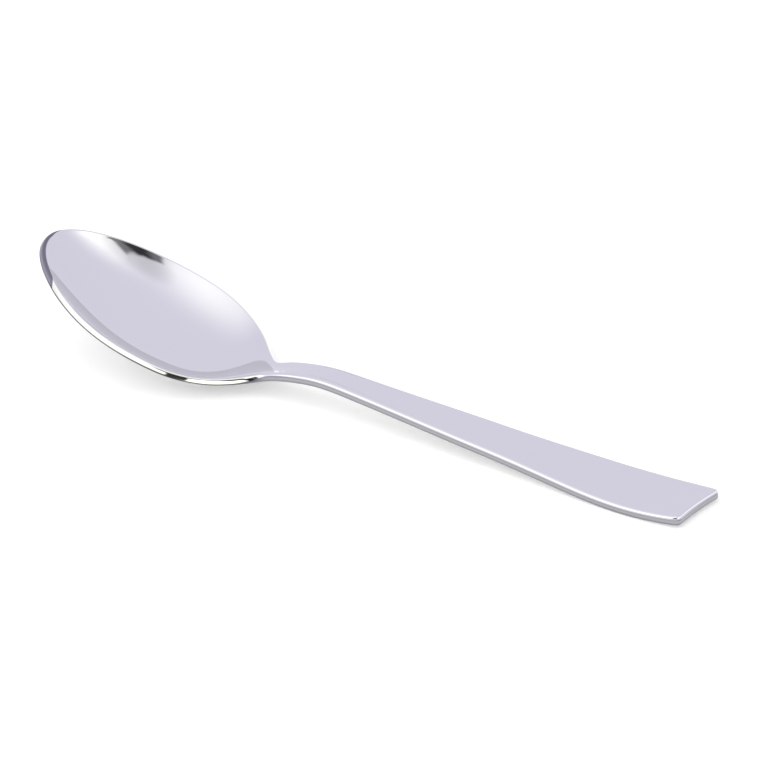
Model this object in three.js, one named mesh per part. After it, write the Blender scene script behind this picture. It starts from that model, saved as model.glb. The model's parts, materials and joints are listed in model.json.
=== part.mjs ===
import * as THREE from "three";

// An ice cream spoon pressed from one piece of sheet steel: an oval bowl, a slim neck and a flat handle
// that widens to a square end. Sizes in millimetres, angles in degrees. The spoon lies along X with its
// hollow side up, bowl tip at -X and handle end at +X, resting on its bowl and on its handle end.

// Outline from above, measured on the upper face
const LENGTH = 138.3; // bowl tip to handle end
const BOWL_WIDTH = 31.6;
const TIP_TO_WIDEST = 24.95; // bowl tip to the widest place of the bowl
const WIDEST_TO_HEEL = 20.05; // widest place to where the oval would close
const TIP_NARROWING = 0.139; // share of the oval's width that is drawn in at the tip
const SHOULDER_ANGLE = 44.5; // of the straight shoulders from the oval in to the neck
const SHOULDER_BLEND = 1.8; // rounding of the hollow corner between shoulder and neck
const NECK_WIDTH = 6.4; // narrowest place
const TIP_TO_NECK = 57.6; // bowl tip to the narrowest place
const MIDDLE_WIDTH = 10.4; // handle, half way from neck to end
const END_WIDTH = 13.8; // handle end
const END_SLOPE = -0.13; // how fast each side still spreads at the handle end
const END_RECESS = 0.35; // how far the end edge is hollowed
const CORNER_RADIUS = 0.15; // corners of the handle end

// Side view of the centre line: straight runs joined by bends
const TIP_ANGLE = 52.2; // fall in front of the bowl's first bend, which reaches past the tip
const FLOOR_ANGLE = 7.85; // fall along the bowl's floor
const NECK_ANGLE = 63.7; // rise at the heel, most of it taken up by the bends at its two ends
const END_ANGLE = 6.7; // rise at the handle end
const TIP_TO_FRONT_BEND = 9.7; // bowl tip to the middle of the bowl's first bend
const FRONT_BEND = 64.4; // length of that bend
const TIP_TO_HEEL_BEND = 48.95; // bowl tip to the middle of the bend at the heel
const HEEL_BEND = 35.9;
const TIP_TO_NECK_BEND = 53.15; // bowl tip to the middle of the neck's bend
const NECK_BEND = 27.5;
const END_BEND_TO_END = 9.6; // middle of the handle's last bend to the handle end
const END_BEND = 31.4;
const LEAST_STRAIGHT = 1; // shortest run left between the two bends of the handle

// Cross section
const BOWL_DEPTH = 6.25; // hollow at the widest place
const BOTTOM_FLATNESS = 0.463; // share of the depth that comes from the steeper upper walls
const TIP_STEEPNESS = 1.02; // how much the hollow deepens again towards the tip
const HEEL_STEEPNESS = 0.63; // and towards the heel
const TIP_TO_FLAT = 53.3; // bowl tip to the middle of the change from hollow bowl to flat neck
const FLATTENING = 7.5; // length of that change
const BOWL_GAUGE = 1.18; // sheet thickness
const HANDLE_GAUGE = 1.7;
const TIP_TO_GAUGE_CHANGE = 48;
const GAUGE_CHANGE = 20; // length over which the sheet thickens and its edge turns rounder
const BOWL_ROUNDING = 0.3; // of the bowl's rim, round the upper face
const HANDLE_ROUNDING = 0.6; // of the handle's edge, round the upper face
const LOWER_SHARE = 0.5; // rounding round the underside, against that of the upper face
const LEAST_SIDE = 0.1; // flat left between upper and lower rounding

// Fineness of the facets
const COLUMNS = 20; // across the sheet
const TIP_ARC = 40; // angle of the oval, each side of the tip, that the first row spans
const TIP_ROWS = 13;
const HEEL_ROWS = 14;
const SHOULDER_ROWS = 14;
const NECK_ROWS = 12;
const STRAIGHT_ROWS = 10;
const END_ROWS = 14;
const UPPER_STEPS = 2; // facets in the upper rounding of the edge
const LOWER_STEPS = 2;
const ARC_FADE = 1.5; // how soon the rows behind the tip turn straight
const SCAN_STEPS = 400; // places looked at along the underside
const HALVINGS = 50; // in the search for the fall of the handle

// Places along the spoon
const tipX = -LENGTH / 2;
const endX = LENGTH / 2;
const widestX = tipX + TIP_TO_WIDEST;
const neckX = tipX + TIP_TO_NECK;
const frontBendX = tipX + TIP_TO_FRONT_BEND;
const heelBendX = tipX + TIP_TO_HEEL_BEND;
const neckBendX = tipX + TIP_TO_NECK_BEND;
const endBendX = endX - END_BEND_TO_END;
const bowlEdge = Math.min(BOWL_ROUNDING, (BOWL_GAUGE - LEAST_SIDE) / (1 + LOWER_SHARE));
const handleEdge = Math.min(HANDLE_ROUNDING, (HANDLE_GAUGE - LEAST_SIDE) / (1 + LOWER_SHARE));

const lerp = THREE.MathUtils.lerp;
const slopeOf = (degrees) => Math.tan(THREE.MathUtils.degToRad(degrees));

// Goes from 0 to 1 over a length about its middle, smoothly at both ends.
function change(distance, length) {
  return THREE.MathUtils.smoothstep(distance, -length / 2, length / 2);
}

// The running total of change: added to a straight line, it bends the line to a new slope.
function bend(distance, length) {
  const t = distance / length + 0.5;
  if (t <= 0) return 0;
  if (t >= 1) return distance;
  return length * (t ** 3 - t ** 4 / 2);
}

// Outline: half widths of the upper face, inside the rounded edge

const bowlHalf = BOWL_WIDTH / 2 - bowlEdge;
const neckHalf = NECK_WIDTH / 2 - handleEdge;
const middleHalf = MIDDLE_WIDTH / 2 - handleEdge;
const endHalf = END_WIDTH / 2 - handleEdge;
const tipLength = TIP_TO_WIDEST - bowlEdge;

// A point of the oval's front half, by its angle from the tip.
function tipOval(angle) {
  const along = Math.cos(angle);
  const narrowing = 1 - TIP_NARROWING * along ** 2;
  return { x: widestX - tipLength * along, y: bowlHalf * Math.sin(angle) * narrowing };
}

const shoulderSlope = slopeOf(SHOULDER_ANGLE);
const leaving = shoulderSlope / Math.hypot(shoulderSlope, bowlHalf / WIDEST_TO_HEEL);
const shoulderX = widestX + WIDEST_TO_HEEL * leaving;

// The oval's rear half, which runs out straight once it is as steep as the shoulders.
function heel(x) {
  const along = Math.min((x - widestX) / WIDEST_TO_HEEL, leaving);
  const past = Math.max(x - shoulderX, 0);
  return bowlHalf * Math.sqrt(1 - along ** 2) - shoulderSlope * past;
}

// A cubic between two half widths with the given slopes at its ends.
function ease(x, x0, w0, slope0, x1, w1, slope1) {
  const length = x1 - x0;
  const t = (x - x0) / length;
  const rise = 3 * t ** 2 - 2 * t ** 3;
  const bowed = slope0 * (t ** 3 - 2 * t ** 2 + t) + slope1 * (t ** 3 - t ** 2);
  return w0 + (w1 - w0) * rise + length * bowed;
}

const middleX = (neckX + endX) / 2;
const middleFlare = (endHalf - neckHalf) / (endX - neckX);
const shoulderFlare = middleFlare / (neckX - widestX); // the strip widens again towards the bowl

function strip(x) {
  if (x < neckX) return neckHalf + shoulderFlare * (neckX - x) ** 2;
  if (x < middleX) return ease(x, neckX, neckHalf, 0, middleX, middleHalf, middleFlare);
  return ease(x, middleX, middleHalf, middleFlare, endX, endHalf, END_SLOPE);
}

// Heel and strip, with the hollow corner between them rounded.
function halfWidth(x) {
  const bowl = heel(x);
  const band = strip(x);
  const near = Math.max(SHOULDER_BLEND - Math.abs(bowl - band), 0) / SHOULDER_BLEND;
  return Math.max(bowl, band) + (SHOULDER_BLEND * near ** 2) / 4;
}

// Upper face and thickness

function thickening(x) {
  return change(x - tipX - TIP_TO_GAUGE_CHANGE, GAUGE_CHANGE);
}

function gauge(x) {
  return lerp(BOWL_GAUGE, HANDLE_GAUGE, thickening(x));
}

function centreLine(x, fall) {
  const down = -slopeOf(TIP_ANGLE);
  const floor = -slopeOf(FLOOR_ANGLE);
  const up = slopeOf(NECK_ANGLE);
  const lift = slopeOf(END_ANGLE);
  const front = down * (x - tipX) + (floor - down) * bend(x - frontBendX, FRONT_BEND);
  const heelRise = (up - floor) * bend(x - heelBendX, HEEL_BEND);
  const neckArch = (fall - up) * bend(x - neckBendX, NECK_BEND);
  return front + heelRise + neckArch + (lift - fall) * bend(x - endBendX, END_BEND);
}

// The lowest place of the underside between two places along the spoon.
function lowest(fall, from, to) {
  let low = Infinity;
  for (let i = 0; i <= SCAN_STEPS; i++) {
    const x = lerp(from, to, i / SCAN_STEPS);
    low = Math.min(low, centreLine(x, fall) - gauge(x));
  }
  return low;
}

// The handle falls just so far that bowl and handle end rest on one plane.
function restingFall() {
  let steep = -1;
  let flat = slopeOf(END_ANGLE);
  for (let i = 0; i < HALVINGS; i++) {
    const fall = (steep + flat) / 2;
    const clear = lowest(fall, neckBendX, endX) - lowest(fall, tipX, neckBendX);
    if (clear > 0) flat = fall;
    else steep = fall;
  }
  return flat;
}

const handleFall = restingFall();

function upperFace(x, y) {
  const hollow = BOWL_DEPTH * (1 - change(x - tipX - TIP_TO_FLAT, FLATTENING));
  const across = (y / (BOWL_WIDTH / 2)) ** 2;
  const forward = Math.max(widestX - x, 0) / TIP_TO_WIDEST;
  const backward = Math.max(x - widestX, 0) / WIDEST_TO_HEEL;
  const steepness = TIP_STEEPNESS * forward ** 2 + HEEL_STEEPNESS * backward ** 2;
  const dish = across * (1 - BOTTOM_FLATNESS + steepness) + BOTTOM_FLATNESS * across ** 2;
  return centreLine(x, handleFall) + hollow * dish;
}

function facePoint(x, y) {
  return new THREE.Vector3(x, y, upperFace(x, y));
}

function faceNormal(x, y) {
  const d = 1e-3;
  const dx = (upperFace(x + d, y) - upperFace(x - d, y)) / (2 * d);
  const dy = (upperFace(x, y + d) - upperFace(x, y - d)) / (2 * d);
  return new THREE.Vector3(-dx, -dy, 1).normalize();
}

// Rows across the spoon, from the arc round the tip to the end edge

const shoulderEndX = shoulderX + (heel(shoulderX) - neckHalf + SHOULDER_BLEND) / shoulderSlope;
const straightStartX = neckBendX + NECK_BEND / 2;
const straightEndX = Math.max(endBendX - END_BEND / 2, straightStartX + LEAST_STRAIGHT);
const lastX = endX - handleEdge;

// Each row has the place and half width of its two ends, its share of the tip's arc and of the end's recess.
function rows() {
  const list = [];
  const first = THREE.MathUtils.degToRad(TIP_ARC);
  for (let i = 0; i < TIP_ROWS; i++) {
    const end = tipOval(lerp(first, Math.PI / 2, i / TIP_ROWS));
    list.push({ x: end.x, half: end.y, arc: (1 - i / TIP_ROWS) ** ARC_FADE, recess: 0 });
  }
  for (let i = 0; i < HEEL_ROWS; i++) {
    const x = widestX + WIDEST_TO_HEEL * Math.sin((Math.asin(leaving) * i) / HEEL_ROWS);
    list.push({ x, half: halfWidth(x), arc: 0, recess: 0 });
  }
  const stretches = [
    [shoulderX, shoulderEndX, SHOULDER_ROWS],
    [shoulderEndX, straightStartX, NECK_ROWS],
    [straightStartX, straightEndX, STRAIGHT_ROWS],
    [straightEndX, lastX - CORNER_RADIUS, END_ROWS],
  ];
  for (const [from, to, count] of stretches) {
    for (let i = 0; i < count; i++) {
      const x = lerp(from, to, i / count);
      const recess = change(x - (straightEndX + lastX) / 2, lastX - straightEndX);
      list.push({ x, half: halfWidth(x), arc: 0, recess });
    }
  }
  for (const x of [lastX - CORNER_RADIUS, lastX]) {
    list.push({ x, half: halfWidth(x), arc: 0, recess: 1 });
  }
  return list;
}

// The plan positions of one row's points.
function rowPoints(row, isLast) {
  const points = [];
  const arcAngle = THREE.MathUtils.degToRad(TIP_ARC);
  const arcEnd = tipOval(arcAngle);
  const cornerCut = CORNER_RADIUS * (1 - Math.SQRT1_2);
  for (let j = 0; j <= COLUMNS; j++) {
    const across = (2 * j) / COLUMNS - 1;
    const arcPoint = tipOval(arcAngle * across);
    let x = row.x - row.arc * (arcEnd.x - arcPoint.x) - row.recess * END_RECESS * (1 - across ** 2);
    let y = row.half * lerp(across, arcPoint.y / arcEnd.y, row.arc);
    if (isLast && Math.abs(across) === 1) {
      x -= cornerCut;
      y -= across * cornerCut;
    }
    points.push({ x, y });
  }
  return points;
}

// The spoon as one closed surface: upper face, underside, and a rounded edge strip between them.
function spoonGeometry() {
  const list = rows();
  const plan = list.map((row, i) => rowPoints(row, i === list.length - 1));
  const last = list.length - 1;
  const upper = plan.map((row) => row.map((p) => facePoint(p.x, p.y)));
  const normals = plan.map((row) => row.map((p) => faceNormal(p.x, p.y)));

  const positions = [];
  const index = [];
  const add = (point) => positions.push(point.x, point.y, point.z) / 3 - 1;
  const quad = (a, b, c, d, turned) => {
    if (turned) index.push(a, b, d, b, c, d);
    else index.push(a, b, c, a, c, d);
  };

  const top = upper.map((row) => row.map((p) => add(p)));
  const under = upper.map((row, i) =>
    row.map((p, j) => add(p.clone().addScaledVector(normals[i][j], -gauge(p.x)))),
  );
  for (let i = 0; i < last; i++) {
    for (let j = 0; j < COLUMNS; j++) {
      const right = j >= COLUMNS / 2; // facets of the two sides mirror each other
      quad(top[i][j], top[i + 1][j], top[i + 1][j + 1], top[i][j + 1], right);
      quad(under[i][j], under[i][j + 1], under[i + 1][j + 1], under[i + 1][j], right);
    }
  }

  // The rim as one loop of row and column numbers, anticlockwise from above.
  const rim = [];
  for (let i = 0; i < last; i++) rim.push([i, 0]);
  for (let j = 0; j < COLUMNS; j++) rim.push([last, j]);
  for (let i = last; i > 0; i--) rim.push([i, COLUMNS]);
  for (let j = COLUMNS; j > 0; j--) rim.push([0, j]);

  const rings = rim.map(([i, j], k) => {
    const [beforeI, beforeJ] = rim[(k + rim.length - 1) % rim.length];
    const [afterI, afterJ] = rim[(k + 1) % rim.length];
    const normal = normals[i][j];
    const along = upper[afterI][afterJ].clone().sub(upper[beforeI][beforeJ]);
    const outward = along.cross(normal).normalize();
    const thickness = gauge(upper[i][j].x);
    const upperEdge = lerp(bowlEdge, handleEdge, thickening(upper[i][j].x));
    const lowerEdge = upperEdge * LOWER_SHARE;
    const point = (out, down) =>
      add(upper[i][j].clone().addScaledVector(outward, out).addScaledVector(normal, -down));
    const ring = [top[i][j]];
    for (let s = 1; s <= UPPER_STEPS; s++) {
      const angle = (Math.PI / 2) * (s / UPPER_STEPS);
      ring.push(point(upperEdge * Math.sin(angle), upperEdge * (1 - Math.cos(angle))));
    }
    for (let s = 0; s <= LOWER_STEPS; s++) {
      const angle = (Math.PI / 2) * (s / LOWER_STEPS);
      const down = thickness - lowerEdge * (1 - Math.sin(angle));
      ring.push(point(upperEdge - lowerEdge * (1 - Math.cos(angle)), down));
    }
    ring.push(under[i][j]);
    return ring;
  });
  rings.forEach((ring, k) => {
    const next = rings[(k + 1) % rings.length];
    for (let s = 0; s + 1 < ring.length; s++) quad(ring[s], ring[s + 1], next[s + 1], next[s], false);
  });

  const geometry = new THREE.BufferGeometry();
  geometry.setAttribute("position", new THREE.Float32BufferAttribute(positions, 3));
  geometry.setIndex(index);
  geometry.computeBoundingBox();
  const box = geometry.boundingBox;
  geometry.translate(-(box.min.x + box.max.x) / 2, 0, -box.min.z);
  geometry.computeVertexNormals();
  return geometry;
}

const polishedSteel = new THREE.MeshStandardMaterial({
  color: 0xd2d0dd,
  roughness: 0.12,
  metalness: 1,
});

const spoon = new THREE.Mesh(spoonGeometry(), polishedSteel);
spoon.name = "spoon";

const iceCreamSpoon = new THREE.Group();
iceCreamSpoon.add(spoon);

export default iceCreamSpoon;
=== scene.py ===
"""A polished steel ice cream spoon lying on a white table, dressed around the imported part."""

import json
import math

import bpy
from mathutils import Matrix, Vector

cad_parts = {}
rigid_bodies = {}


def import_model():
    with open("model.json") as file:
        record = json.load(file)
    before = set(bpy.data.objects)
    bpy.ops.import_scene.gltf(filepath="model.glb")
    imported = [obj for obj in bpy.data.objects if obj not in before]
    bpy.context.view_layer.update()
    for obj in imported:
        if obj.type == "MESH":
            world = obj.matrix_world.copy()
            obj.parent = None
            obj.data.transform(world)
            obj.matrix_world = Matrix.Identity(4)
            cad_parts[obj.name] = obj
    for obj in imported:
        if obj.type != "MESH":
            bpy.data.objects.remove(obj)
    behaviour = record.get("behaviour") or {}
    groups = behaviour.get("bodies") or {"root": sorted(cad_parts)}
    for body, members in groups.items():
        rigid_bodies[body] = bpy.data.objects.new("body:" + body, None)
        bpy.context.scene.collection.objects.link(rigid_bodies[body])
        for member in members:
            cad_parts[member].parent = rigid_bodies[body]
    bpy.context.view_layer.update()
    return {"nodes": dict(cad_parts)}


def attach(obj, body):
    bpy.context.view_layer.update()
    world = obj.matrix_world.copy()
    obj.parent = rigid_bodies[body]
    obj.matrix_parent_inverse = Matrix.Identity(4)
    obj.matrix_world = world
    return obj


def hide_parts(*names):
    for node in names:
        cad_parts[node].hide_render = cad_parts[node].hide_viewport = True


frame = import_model()

MM = 0.001
WHITE, BLACK = (1, 1, 1), (0, 0, 0)


def deselect_everything():
    bpy.ops.object.select_all(action="DESELECT")


def make_active(piece):
    deselect_everything()
    piece.select_set(True)
    bpy.context.view_layer.objects.active = piece


# The spoon: a copy of the pressed sheet, in quads, with its rims held tight and its faces rounded

WELD = 0.0005 * MM  # points closer together than this become one
ANY_ANGLE = math.pi  # any two triangles that share a side may join into a quad
RIM_ANGLE = math.radians(14)  # the folds along the rim are sharper than any bend of the faces
UPPER_HOLD = 0.10 * MM  # width of the band along the rim over which the upper face rolls off
BACK_HOLD = 0.06 * MM  # and the same for the back, which stays flat almost to its rim
RIM_BAND_WIDTH = 0.5 * MM  # width of the next band of the upper face, which marks how far the painted shade at the tip reaches
HANDLE_FACE = Vector((0.02, 0.0, 0.00457))  # a place on the handle's upper face
HANDLE_BACK = Vector((0.02, 0.0, 0.00286))  # the place below it on the back
EDGE_STRIPS = 7  # strips of facets across the edge, from the upper face to the back
ROUNDING_LEVELS = 2


def nearest_face(mesh, place):
    return min(mesh.polygons, key=lambda face: (face.center - place).length).index


def select_side(spoon, place):
    """Selects the whole side of the sheet that holds the place, up to its rim."""
    bpy.ops.mesh.select_all(action="DESELECT")
    bpy.ops.object.mode_set(mode="OBJECT")
    spoon.data.polygons[nearest_face(spoon.data, place)].select = True
    bpy.ops.object.mode_set(mode="EDIT")
    bpy.ops.mesh.select_linked(delimit={"SHARP"})


def hold_rim(spoon, place, width):
    """Insets a narrow band along the whole rim of one side."""
    select_side(spoon, place)
    bpy.ops.mesh.inset(thickness=width, depth=0, use_boundary=True, use_even_offset=True)


def number_edge(spoon):
    """Numbers the points across the edge: 0 on the upper face, 2 at its rim, EDGE_STRIPS on the back."""
    select_side(spoon, HANDLE_FACE)
    across = [float(EDGE_STRIPS)] * len(spoon.data.vertices)
    for strip in range(EDGE_STRIPS):
        bpy.ops.object.mode_set(mode="OBJECT")
        for point in spoon.data.vertices:
            if point.select:
                across[point.index] = min(across[point.index], float(strip))
        bpy.ops.object.mode_set(mode="EDIT")
        bpy.ops.mesh.select_more(use_face_step=True)
    bpy.ops.object.mode_set(mode="OBJECT")
    layer = spoon.data.attributes.new("across_edge", "FLOAT", "POINT")
    layer.data.foreach_set("value", across)
    bpy.ops.object.mode_set(mode="EDIT")


def pressed_spoon():
    mesh = frame["nodes"]["spoon"].data.copy()
    spoon = bpy.data.objects.new("pressed_spoon", mesh)
    bpy.context.scene.collection.objects.link(spoon)
    make_active(spoon)
    bpy.ops.object.mode_set(mode="EDIT")
    bpy.ops.mesh.select_mode(type="FACE")
    bpy.ops.mesh.select_all(action="SELECT")
    bpy.ops.mesh.remove_doubles(threshold=WELD)
    bpy.ops.mesh.tris_convert_to_quads(face_threshold=ANY_ANGLE, shape_threshold=ANY_ANGLE)
    bpy.ops.mesh.select_mode(type="EDGE")
    bpy.ops.mesh.select_all(action="DESELECT")
    bpy.ops.mesh.edges_select_sharp(sharpness=RIM_ANGLE)
    bpy.ops.mesh.mark_sharp()
    bpy.ops.mesh.select_mode(type="FACE")
    hold_rim(spoon, HANDLE_FACE, UPPER_HOLD)
    hold_rim(spoon, HANDLE_FACE, RIM_BAND_WIDTH)
    hold_rim(spoon, HANDLE_BACK, BACK_HOLD)
    number_edge(spoon)
    bpy.ops.mesh.select_mode(type="EDGE")
    bpy.ops.mesh.select_all(action="SELECT")
    bpy.ops.mesh.mark_sharp(clear=True)
    bpy.ops.object.mode_set(mode="OBJECT")
    rounding = spoon.modifiers.new("rounded_faces", "SUBSURF")
    rounding.levels = ROUNDING_LEVELS
    rounding.render_levels = ROUNDING_LEVELS
    bpy.ops.object.modifier_apply(modifier=rounding.name)
    bpy.ops.object.shade_smooth()
    return spoon


spoon = pressed_spoon()
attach(spoon, "root")
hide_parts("spoon")


# Nodes: in what follows, a value is a number, a vector or the output socket of another node

MIX_FACTOR, MIX_FIRST, MIX_SECOND, MIX_RESULT = 0, 6, 7, 2  # the sockets of a Mix node of colours


def set_input(tree, socket, value):
    if isinstance(value, bpy.types.NodeSocket):
        tree.links.new(value, socket)
    else:
        socket.default_value = value


def operator_node(tree, kind, operation, values):
    node = tree.nodes.new(kind)
    node.operation = operation
    for socket, value in zip(node.inputs, values):
        set_input(tree, socket, value)
    return node.outputs


def math_node(tree, operation, *values):
    return operator_node(tree, "ShaderNodeMath", operation, values)["Value"]


def vector_node(tree, operation, *values):
    result = "Value" if operation == "DOT_PRODUCT" else "Vector"
    return operator_node(tree, "ShaderNodeVectorMath", operation, values)[result]


def ramp(tree, value, low, high, to_low, to_high, curve="SMOOTHSTEP"):
    """Goes from one number to another while the value goes from low to high, and stays there beyond them."""
    node = tree.nodes.new("ShaderNodeMapRange")
    node.interpolation_type = curve
    tree.links.new(value, node.inputs["Value"])
    node.inputs["From Min"].default_value = low
    node.inputs["From Max"].default_value = high
    node.inputs["To Min"].default_value = to_low
    node.inputs["To Max"].default_value = to_high
    return node.outputs["Result"]


def mix_colour(tree, factor, first, second):
    """Goes from the first colour to the second while the factor goes from 0 to 1."""
    node = tree.nodes.new("ShaderNodeMix")
    node.data_type = "RGBA"
    node.clamp_factor = True
    tree.links.new(factor, node.inputs[MIX_FACTOR])
    for index, colour in ((MIX_FIRST, first), (MIX_SECOND, second)):
        set_input(tree, node.inputs[index], (*colour, 1) if isinstance(colour, tuple) else colour)
    return node.outputs[MIX_RESULT]


def object_place(tree):
    return tree.nodes.new("ShaderNodeTexCoord").outputs["Object"]


def split(tree, vector):
    node = tree.nodes.new("ShaderNodeSeparateXYZ")
    tree.links.new(vector, node.inputs[0])
    return node.outputs


def noise(tree, place, scale):
    node = tree.nodes.new("ShaderNodeTexNoise")
    node.inputs["Scale"].default_value = scale
    tree.links.new(place, node.inputs["Vector"])
    return node.outputs["Fac"]


# Polished steel: a mirror finish on both faces and a dull cut side, with a painted highlight on the bowl's
# rim, painted shade on the cut side and at the tip, and painted light in the deeper reflections.
# Places across the edge are counted in strips, from 0 on the upper face to EDGE_STRIPS on the back.

STEEL = (0.720, 0.720, 0.704)
LIGHTER_THIRD_REFLECTION = (0.92, 0.92, 0.92)  # the steel painted lighter at a third reflection: a painted brightening of the bowl's steep wall
PAINTED_FOURTH_GLOW = (0.62, 0.605, 0.72)  # a painted glow at a fourth reflection, where the light goes no further: it stands in for what would be mirrored
THIRD_DEPTH, FOURTH_DEPTH = 2, 3  # how often the light has been mirrored before these two reflections
HALF_DEPTH = 0.5  # tells one whole depth from the next
CUT_STEEL_SHADED = (0.40, 0.395, 0.425)  # the middle of the cut side: duller steel, with painted shade for the dimmer table that it mirrors
BURR_SHADE = (0.29, 0.287, 0.313)  # painted shade at its two burrs, for the dark lines that the edge mirrors from the dim room and the spoon's shadow on the table
RIM_HIGHLIGHT = (0.965, 0.990, 0.832)  # painted highlight: the bowl's rim painted a clear white
RIM_SHADE = (0.17, 0.168, 0.18)  # painted shade on the cut side below that rim, for the spoon's shadow that it mirrors
TIP_SHADE = (0.18, 0.175, 0.195)  # painted shade at the tip: a dark reflection painted onto it
SMOOTHEST, ROUGHEST = 0.03, 0.06  # roughness of the polished faces
CUT_ROUGHNESS = 0.2
TIP_END, BOWL_START = -61.5 * MM, -59.5 * MM  # along the spoon
BOWL_END, HANDLE_START = -24 * MM, -18 * MM
TIP_SHADE_HALF = (-1 * MM, 5 * MM)  # across the spoon: the painted shade covers the tip's near half
HANDLE_CUT = (3.7, 4.1)  # where the cut side starts on the handle, across the edge
BOWL_CUT_LATER = 1.1  # the bowl's rim is polished this much further down
TIP_CUT_EARLIER = 4.4  # and at its tip the dull cut side, with its painted shade, reaches up to the upper face
RIM_HIGHLIGHT_START = (2.3, 3.2)  # where the painted highlight on the rim starts
CUT_FADES, CUT_ENDS = 6.3, 7.0  # where the cut side and the rim's painted highlight give way to the polished back
CUT_MIDDLE, CUT_TO_BURR = 4.55, 0.6
TIP_SHADE_FADES, TIP_SHADE_ENDS = 2.5, 5.0  # the painted shade at the tip is darkest at the upper face's rim
HAIRLINE_STRETCH = (0.03, 1.0, 1.0)  # polishing lines run along the spoon
HAIRLINES = 2600  # to the metre, across the spoon
HAIRLINE_HEIGHT = 0.02 * MM
HAIRLINE_STRENGTH = 0.02
CLOUDS = 90  # patches of finer and coarser polish to the metre
CLOUD_RANGE = (0.3, 0.7)  # the part of the noise that goes from the finest polish to the coarsest


def mirror_colour(tree, depth):
    """An even grey for the bowl's steep wall, painted: the steel is painted lighter at a third reflection,
    and black at a fourth, which shows a painted glow instead.
    """
    third = math_node(tree, "GREATER_THAN", depth, THIRD_DEPTH - HALF_DEPTH)
    fourth = math_node(tree, "GREATER_THAN", depth, FOURTH_DEPTH - HALF_DEPTH)
    colour = mix_colour(tree, third, STEEL, LIGHTER_THIRD_REFLECTION)
    return mix_colour(tree, fourth, colour, BLACK)


def cut_colour(tree, across, bowl, tip):
    """The cut side's colour, with painted shade: lightest in its middle, painted darker at its burrs, and
    darkest on the bowl and at its tip.
    """
    off_middle = math_node(tree, "SUBTRACT", across, CUT_MIDDLE)
    off_middle = math_node(tree, "ABSOLUTE", off_middle)
    # painted shade at the burrs
    burr = ramp(tree, off_middle, 0, CUT_TO_BURR, 0, 1)
    colour = mix_colour(tree, burr, CUT_STEEL_SHADED, BURR_SHADE)
    # painted shade below the bowl's rim
    behind_tip = math_node(tree, "SUBTRACT", bowl, tip)
    colour = mix_colour(tree, behind_tip, colour, RIM_SHADE)
    # painted shade at the tip, darkest at the upper face's rim
    tip_shade_fade = ramp(tree, across, TIP_SHADE_FADES, TIP_SHADE_ENDS, 1, 0)
    shaded_tip = math_node(tree, "MULTIPLY", tip, tip_shade_fade)
    return mix_colour(tree, shaded_tip, colour, TIP_SHADE)


def steel_roughness(tree, place, cut):
    polish = ramp(tree, noise(tree, place, CLOUDS), *CLOUD_RANGE, SMOOTHEST, ROUGHEST)
    roughness = tree.nodes.new("ShaderNodeMix")
    tree.links.new(cut, roughness.inputs["Factor"])
    tree.links.new(polish, roughness.inputs["A"])
    roughness.inputs["B"].default_value = CUT_ROUGHNESS
    return roughness.outputs["Result"]


def hairline_bump(tree, place):
    stretched = vector_node(tree, "MULTIPLY", place, HAIRLINE_STRETCH)
    bump = tree.nodes.new("ShaderNodeBump")
    bump.inputs["Strength"].default_value = HAIRLINE_STRENGTH
    bump.inputs["Distance"].default_value = HAIRLINE_HEIGHT
    tree.links.new(noise(tree, stretched, HAIRLINES), bump.inputs["Height"])
    return bump.outputs["Normal"]


def polished_steel():
    material = bpy.data.materials.new("polished_steel")
    material.use_nodes = True
    tree = material.node_tree
    place = object_place(tree)
    along, sideways, _ = split(tree, place)
    edge = tree.nodes.new("ShaderNodeAttribute")
    edge.attribute_name = "across_edge"
    across = edge.outputs["Fac"]
    depth = tree.nodes.new("ShaderNodeLightPath").outputs["Glossy Depth"]

    bowl = ramp(tree, along, BOWL_END, HANDLE_START, 1, 0)
    tip = ramp(tree, along, TIP_END, BOWL_START, 1, 0)
    tip = math_node(tree, "MULTIPLY", tip, ramp(tree, sideways, *TIP_SHADE_HALF, 1, 0))
    down_side = math_node(tree, "MULTIPLY_ADD", bowl, -BOWL_CUT_LATER, across)
    down_side = math_node(tree, "MULTIPLY_ADD", tip, TIP_CUT_EARLIER, down_side)
    before_back = ramp(tree, across, CUT_FADES, CUT_ENDS, 1, 0)
    cut = math_node(tree, "MULTIPLY", ramp(tree, down_side, *HANDLE_CUT, 0, 1), before_back)
    rim_highlight = math_node(tree, "MULTIPLY", ramp(tree, across, *RIM_HIGHLIGHT_START, 0, 1), before_back)
    rim_highlight = math_node(tree, "MULTIPLY", rim_highlight, bowl)
    last = math_node(tree, "COMPARE", depth, FOURTH_DEPTH, HALF_DEPTH)

    # the painted highlight on the bowl's rim, then the cut side with its painted shade
    colour = mix_colour(tree, rim_highlight, mirror_colour(tree, depth), RIM_HIGHLIGHT)
    colour = mix_colour(tree, cut, colour, cut_colour(tree, across, bowl, tip))
    shader = tree.nodes["Principled BSDF"]
    shader.inputs["Metallic"].default_value = 1.0
    shader.inputs["Emission Strength"].default_value = 1.0
    tree.links.new(colour, shader.inputs["Base Color"])
    tree.links.new(steel_roughness(tree, place, cut), shader.inputs["Roughness"])
    tree.links.new(hairline_bump(tree, place), shader.inputs["Normal"])
    # a painted glow at a fourth reflection, in place of what it would mirror
    tree.links.new(mix_colour(tree, last, BLACK, PAINTED_FOURTH_GLOW), shader.inputs["Emission Color"])
    return material


spoon.data.materials.clear()
spoon.data.materials.append(polished_steel())


# Table, light tent and camera


def bare_material(piece):
    """Gives a piece a material of its own name, with no nodes yet."""
    material = bpy.data.materials.new(piece.name)
    material.use_nodes = True
    material.node_tree.nodes.clear()
    piece.data.materials.append(material)
    return material.node_tree


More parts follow.
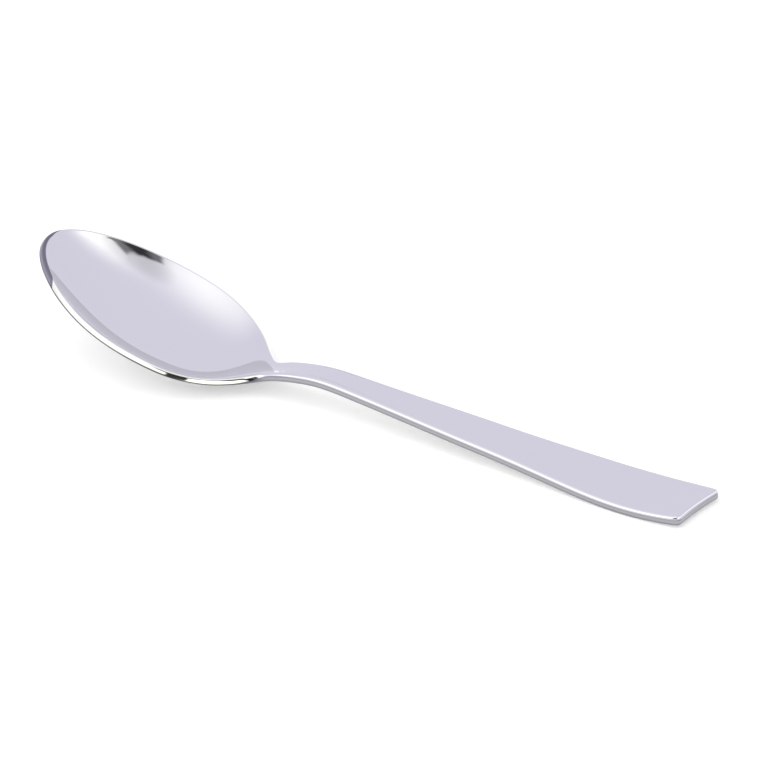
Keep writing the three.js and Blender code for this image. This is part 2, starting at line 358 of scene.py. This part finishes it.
def glow(tree, colour, strength):
    node = tree.nodes.new("ShaderNodeEmission")
    node.inputs["Color"].default_value = (*colour, 1)
    set_input(tree, node.inputs["Strength"], strength)
    return node.outputs[0]


def add_shaders(tree, first, second):
    node = tree.nodes.new("ShaderNodeAddShader")
    tree.links.new(first, node.inputs[0])
    tree.links.new(second, node.inputs[1])
    return node.outputs[0]


def set_surface(tree, shader):
    output = tree.nodes.new("ShaderNodeOutputMaterial")
    tree.links.new(shader, output.inputs["Surface"])


def seen_directly(tree):
    """1 for rays of the camera, of a reflection or through glass, 0 for rays of diffuse light."""
    path = tree.nodes.new("ShaderNodeLightPath")
    seen = math_node(tree, "MAXIMUM", path.outputs["Is Camera Ray"], path.outputs["Is Glossy Ray"])
    return math_node(tree, "MAXIMUM", seen, path.outputs["Is Transmission Ray"])


TABLE_SIZE = 4.0
TABLE_WHITE = 0.88  # share of the light that the table scatters
TABLE_GLOW = 0.22  # what is left to white and a little over, added where the table is seen


def white_table():
    deselect_everything()
    bpy.ops.mesh.primitive_plane_add(size=TABLE_SIZE, location=(0, 0, 0))
    table = bpy.context.object
    table.name = "white_table"
    tree = bare_material(table)
    matt = tree.nodes.new("ShaderNodeBsdfDiffuse")
    matt.inputs["Color"].default_value = (TABLE_WHITE, TABLE_WHITE, TABLE_WHITE, 1)
    strength = math_node(tree, "MULTIPLY", seen_directly(tree), TABLE_GLOW)
    set_surface(tree, add_shaders(tree, matt.outputs[0], glow(tree, WHITE, strength)))


ROOM_LIGHT = 0.8  # what the room adds to the light on matt surfaces
FRONT_LIGHT = 1.4  # a wide lamp in front of the spoon, also for matt surfaces only
FRONT_AZIMUTH, FRONT_ELEVATION, FRONT_SPREAD = -10, 45, 90  # its direction and apparent width, in degrees


def white_room():
    world = bpy.data.worlds.new("white_room")
    bpy.context.scene.world = world
    world.use_nodes = True
    tree = world.node_tree
    background = tree.nodes["Background"]
    background.inputs["Color"].default_value = (*WHITE, 1)
    strength = ramp(tree, seen_directly(tree), 0, 1, ROOM_LIGHT, 1)
    tree.links.new(strength, background.inputs["Strength"])


def towards(azimuth, elevation):
    """Direction from the spoon: azimuth 0 is the near side, 90 the handle end; in degrees."""
    azimuth, elevation = math.radians(azimuth), math.radians(elevation)
    return Vector(
        (
            math.sin(azimuth) * math.cos(elevation),
            -math.cos(azimuth) * math.cos(elevation),
            math.sin(elevation),
        )
    )


def front_lamp():
    lamp = bpy.data.lights.new("front_lamp", "SUN")
    lamp.energy = FRONT_LIGHT
    lamp.angle = math.radians(FRONT_SPREAD)
    holder = bpy.data.objects.new("front_lamp", lamp)
    bpy.context.scene.collection.objects.link(holder)
    holder.rotation_mode = "QUATERNION"
    holder.rotation_quaternion = towards(FRONT_AZIMUTH, FRONT_ELEVATION).to_track_quat("Z", "Y")
    holder.visible_glossy = False


# The tent's directions and widths are angles seen from the spoon, in degrees.

TENT_RADIUS = 1.4
TENT_SEGMENTS, TENT_RINGS = 96, 48
TENT_WALL = (0.845, 0.824, 0.980)  # the cool white that the steel mirrors
LAMP_COLOUR = (1.04, 1.06, 0.89)  # a warmer white than the wall
TENT_RISE = 0.06  # share that the wall gains from the table to the top
LAMPS = (
    # azimuth, elevation, full within, gone at, how fast it fades, added brightness
    (-7.8, 54.3, 5.2, 65.9, 3.4, 0.47),
    (96.3, 39.5, 15.4, 42.1, 5, 1.12),
    (-32, 24, 10, 26, 1.5, 0.65),
    (62, 36, 12, 28, 1.5, 0.75),
    (142, 16, 8, 26, 1.5, 0.5),
)
SHADES = (
    # azimuth, elevation, full within, gone at, brightness left
    (70, 56, 5, 24, 0.7),
)
OPENINGS = (
    # azimuth at the table, how far it leans, half width, soft edge, bottom, top, soft ends, brightness left
    (-2.1, 68, 8.5, 4, 15, 57, 6, 0.03),  # for the camera
    (13, 0, 20, 8, 14, 42, 4, 0.1),  # below the camera
    (63.5, 0, 24.5, 10, 55, 63, 3, 0.25),  # above the lamp on the right
    (62, 0, 11, 16, 55, 63.5, 3, 0.2),  # the middle of that one
)


def near_direction(tree, facing, azimuth, elevation, inner, outer):
    """1 within an angle of a direction, 0 beyond a larger one."""
    likeness = vector_node(tree, "DOT_PRODUCT", facing, towards(azimuth, elevation))
    far, near = math.cos(math.radians(outer)), math.cos(math.radians(inner))
    return ramp(tree, likeness, far, near, 0, 1, "LINEAR")


def near_azimuth(tree, azimuth_now, azimuth, half, soft):
    """1 within half a width of an azimuth, 0 outside it."""
    away = math_node(tree, "SUBTRACT", azimuth_now, math.radians(azimuth))
    away = math_node(tree, "WRAP", away, math.pi, -math.pi)
    away = math_node(tree, "ABSOLUTE", away)
    near, far = math.radians(half - soft / 2), math.radians(half + soft / 2)
    return ramp(tree, away, near, far, 1, 0)


def above(tree, height, elevation, soft):
    """0 below an elevation, 1 above it."""
    low, high = math.sin(math.radians(elevation - soft / 2)), math.sin(math.radians(elevation + soft / 2))
    return ramp(tree, height, low, high, 0, 1)


def lamp_light(tree, facing):
    """What the lamps behind the cloth add to its brightness."""
    light = 0.0
    for *cone, fading, added in LAMPS:
        lamp = math_node(tree, "POWER", near_direction(tree, facing, *cone), fading)
        light = math_node(tree, "MULTIPLY_ADD", lamp, added, light)
    return light


def light_left(tree, facing):
    """The share of its brightness that the cloth keeps: less in a shade, little in an opening."""
    sideways, inwards, height = split(tree, facing)
    azimuth_now = math_node(tree, "ARCTAN2", sideways, math_node(tree, "MULTIPLY", inwards, -1))
    share = 1.0
    for *cone, left in SHADES:
        shade = ramp(tree, near_direction(tree, facing, *cone), 0, 1, 1, left)
        share = math_node(tree, "MULTIPLY", shade, share)
    for azimuth, lean, half, soft, bottom, top, soft_end, left in OPENINGS:
        upright = math_node(tree, "MULTIPLY_ADD", height, -math.radians(lean), azimuth_now)
        beside = near_azimuth(tree, upright, azimuth, half, soft)
        over_bottom = above(tree, height, bottom, soft_end)
        over_top = above(tree, height, top, soft_end)
        between = math_node(tree, "SUBTRACT", over_bottom, over_top)
        inside = math_node(tree, "MULTIPLY", beside, between)
        share = math_node(tree, "MULTIPLY", ramp(tree, inside, 0, 1, 1, left), share)
    return share


def show_in_reflections(cloth):
    """Hides a piece of the tent from everything but reflections."""
    cloth.visible_camera = False
    cloth.visible_diffuse = False
    cloth.visible_shadow = False
    cloth.visible_transmission = False


def light_tent():
    """A dome of white cloth around the spoon, with lamps behind it, a shade and dark openings."""
    deselect_everything()
    bpy.ops.mesh.primitive_uv_sphere_add(
        segments=TENT_SEGMENTS, ring_count=TENT_RINGS, radius=TENT_RADIUS, location=(0, 0, 0)
    )
    tent = bpy.context.object
    tent.name = "light_tent"
    bpy.ops.object.shade_smooth()
    tree = bare_material(tent)
    facing = vector_node(tree, "NORMALIZE", object_place(tree))
    wall = math_node(tree, "MULTIPLY_ADD", split(tree, facing)["Z"], TENT_RISE, 1.0)
    left = light_left(tree, facing)
    cloth = glow(tree, TENT_WALL, math_node(tree, "MULTIPLY", wall, left))
    lamps = glow(tree, LAMP_COLOUR, math_node(tree, "MULTIPLY", lamp_light(tree, facing), left))
    set_surface(tree, add_shaders(tree, cloth, lamps))
    show_in_reflections(tent)


HEM_RADIUS, HEM_HEIGHT = 78 * MM, 5 * MM


def tent_hem():
    """The cloth's hem close around the spoon: flat reflections meet it, and not the bright table."""
    deselect_everything()
    bpy.ops.mesh.primitive_cylinder_add(
        vertices=TENT_SEGMENTS,
        radius=HEM_RADIUS,
        depth=HEM_HEIGHT,
        end_fill_type="NOTHING",
        location=(0, 0, HEM_HEIGHT / 2),
    )
    hem = bpy.context.object
    hem.name = "tent_hem"
    tree = bare_material(hem)
    set_surface(tree, glow(tree, TENT_WALL, 1.0))
    show_in_reflections(hem)


CAMERA_AZIMUTH = 34.125
CAMERA_ELEVATION = 24.641
CAMERA_DISTANCE = 0.9
CAMERA_TARGET = Vector((3.592, 0.0, 8.418)) * MM
CAMERA_LENS, SENSOR_WIDTH = 241.29, 36  # in millimetres


def photo_camera():
    back = towards(CAMERA_AZIMUTH, CAMERA_ELEVATION)
    lens = bpy.data.cameras.new("photo_camera")
    lens.lens = CAMERA_LENS
    lens.sensor_width = SENSOR_WIDTH
    camera = bpy.data.objects.new("photo_camera", lens)
    bpy.context.scene.collection.objects.link(camera)
    camera.location = CAMERA_TARGET + back * CAMERA_DISTANCE
    camera.rotation_mode = "QUATERNION"
    camera.rotation_quaternion = (-back).to_track_quat("-Z", "Y")
    bpy.context.scene.camera = camera


white_table()
white_room()
front_lamp()
light_tent()
tent_hem()
photo_camera()

scene = bpy.context.scene
scene.view_settings.view_transform = "Standard"
